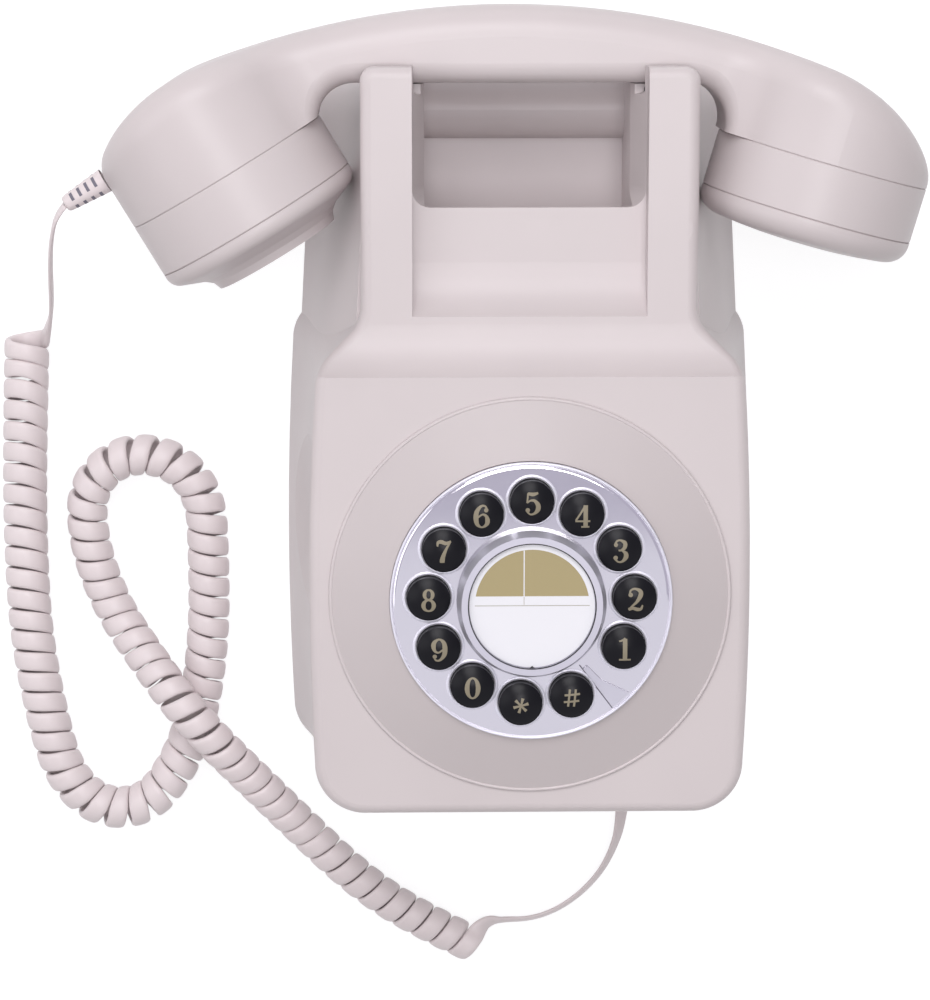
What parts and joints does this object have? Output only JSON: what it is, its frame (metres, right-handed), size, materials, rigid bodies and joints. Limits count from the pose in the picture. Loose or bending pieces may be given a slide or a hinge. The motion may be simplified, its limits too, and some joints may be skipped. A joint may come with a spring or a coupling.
{
  "type": "wall telephone",
  "caption": "Wall telephone with round push keys set in a dial-like bright disc, a cradle with a lift-off handset, side loudspeaker slots and a curly handset cord.",
  "frame": {"origin": "on the wall plane (the back of the case), midway between the two wall keyholes", "axes": "+Z out of the wall, which is up when the telephone lies on its back as pictured; +Y up the wall; +X to the right as seen from the front"},
  "size_m": [0.2639, 0.289, 0.096],
  "materials": {
    "ivory_shell": "gloss",
    "ivory_cord": "satin",
    "bright_metal": "polished",
    "key_black": "gloss",
    "label_card": "matte",
    "clear_lens": "clear gloss",
    "plate_plastic": "fine grain",
    "black_plastic": "satin",
    "rubber_mat": "matte",
    "circuit_board": "satin",
    "steel": "brushed",
    "weight_iron": "rough",
    "sound_parts": "matte"
  },
  "bodies": {
    "case": {"front_case": "ivory_shell", "dial_surround": "ivory_shell", "cord_handset_lead": "ivory_cord", "cord_curly": "ivory_cord", "cord_base_lead": "ivory_cord", "cord_gland": "ivory_cord", "dial_disc": "bright_metal", "hub_ring": "bright_metal", "finger_stop": "bright_metal", "label_card": "label_card", "label_lens": "clear_lens", "back_plate": "plate_plastic", "hook_switch": "black_plastic", "volume_switch": "black_plastic", "tone_switch": "black_plastic", "line_socket": "black_plastic", "key_mat": "rubber_mat", "keypad_board": "circuit_board", "main_board": "circuit_board", "ribbon_cable": "circuit_board", "case_screws": "steel", "board_screws": "steel", "keypad_screws": "steel", "hook_bracket": "steel", "hook_spring": "steel", "ringer_speaker": "sound_parts"},
    "handset": {"handset_shell": "ivory_shell", "handset_weight": "weight_iron", "mouthpiece_collar": "ivory_shell", "mouthpiece_cap": "ivory_shell", "earpiece_collar": "ivory_shell", "earpiece_cap": "ivory_shell", "microphone_capsule": "sound_parts", "receiver_capsule": "sound_parts", "cord_boot": "ivory_cord"},
    "hook": {"hook_yoke": "black_plastic"},
    "volume_slider": {"volume_knob": "black_plastic"},
    "tone_slider": {"tone_knob": "black_plastic"},
    "button_1": {"key_1": "key_black"},
    "button_2": {"key_2": "key_black"},
    "button_3": {"key_3": "key_black"},
    "button_4": {"key_4": "key_black"},
    "button_5": {"key_5": "key_black"},
    "button_6": {"key_6": "key_black"},
    "button_7": {"key_7": "key_black"},
    "button_8": {"key_8": "key_black"},
    "button_9": {"key_9": "key_black"},
    "button_0": {"key_0": "key_black"},
    "button_star": {"key_star": "key_black"},
    "button_hash": {"key_hash": "key_black"}
  },
  "joints": [
    {"name": "handset_lift", "type": "slide", "parent": "case", "child": "handset", "axis": [0, 1, 0], "range_m": [0, 0.08], "deforming": ["cord_handset_lead", "cord_curly"]},
    {"name": "hook_rise", "type": "slide", "parent": "case", "child": "hook", "axis": [0, 1, 0], "range_m": [0, 0.006], "deforming": ["hook_spring"]},
    {"name": "press_1", "type": "slide", "parent": "case", "child": "button_1", "axis": [0, 0, -1], "range_m": [0, 0.002], "stiffness_N_per_m": 300, "springref_m": -0.0005},
    {"name": "press_2", "type": "slide", "parent": "case", "child": "button_2", "axis": [0, 0, -1], "range_m": [0, 0.002], "stiffness_N_per_m": 300, "springref_m": -0.0005},
    {"name": "press_3", "type": "slide", "parent": "case", "child": "button_3", "axis": [0, 0, -1], "range_m": [0, 0.002], "stiffness_N_per_m": 300, "springref_m": -0.0005},
    {"name": "press_4", "type": "slide", "parent": "case", "child": "button_4", "axis": [0, 0, -1], "range_m": [0, 0.002], "stiffness_N_per_m": 300, "springref_m": -0.0005},
    {"name": "press_5", "type": "slide", "parent": "case", "child": "button_5", "axis": [0, 0, -1], "range_m": [0, 0.002], "stiffness_N_per_m": 300, "springref_m": -0.0005},
    {"name": "press_6", "type": "slide", "parent": "case", "child": "button_6", "axis": [0, 0, -1], "range_m": [0, 0.002], "stiffness_N_per_m": 300, "springref_m": -0.0005},
    {"name": "press_7", "type": "slide", "parent": "case", "child": "button_7", "axis": [0, 0, -1], "range_m": [0, 0.002], "stiffness_N_per_m": 300, "springref_m": -0.0005},
    {"name": "press_8", "type": "slide", "parent": "case", "child": "button_8", "axis": [0, 0, -1], "range_m": [0, 0.002], "stiffness_N_per_m": 300, "springref_m": -0.0005},
    {"name": "press_9", "type": "slide", "parent": "case", "child": "button_9", "axis": [0, 0, -1], "range_m": [0, 0.002], "stiffness_N_per_m": 300, "springref_m": -0.0005},
    {"name": "press_0", "type": "slide", "parent": "case", "child": "button_0", "axis": [0, 0, -1], "range_m": [0, 0.002], "stiffness_N_per_m": 300, "springref_m": -0.0005},
    {"name": "press_star", "type": "slide", "parent": "case", "child": "button_star", "axis": [0, 0, -1], "range_m": [0, 0.002], "stiffness_N_per_m": 300, "springref_m": -0.0005},
    {"name": "press_hash", "type": "slide", "parent": "case", "child": "button_hash", "axis": [0, 0, -1], "range_m": [0, 0.002], "stiffness_N_per_m": 300, "springref_m": -0.0005},
    {"name": "volume_slide", "type": "slide", "parent": "case", "child": "volume_slider", "axis": [1, 0, 0], "range_m": [0, 0.004]},
    {"name": "tone_slide", "type": "slide", "parent": "case", "child": "tone_slider", "axis": [1, 0, 0], "range_m": [0, 0.004]}
  ],
  "couplings": [
    {"joint": "hook_rise", "follows": "handset_lift", "ratio": 0.075}
  ]
}
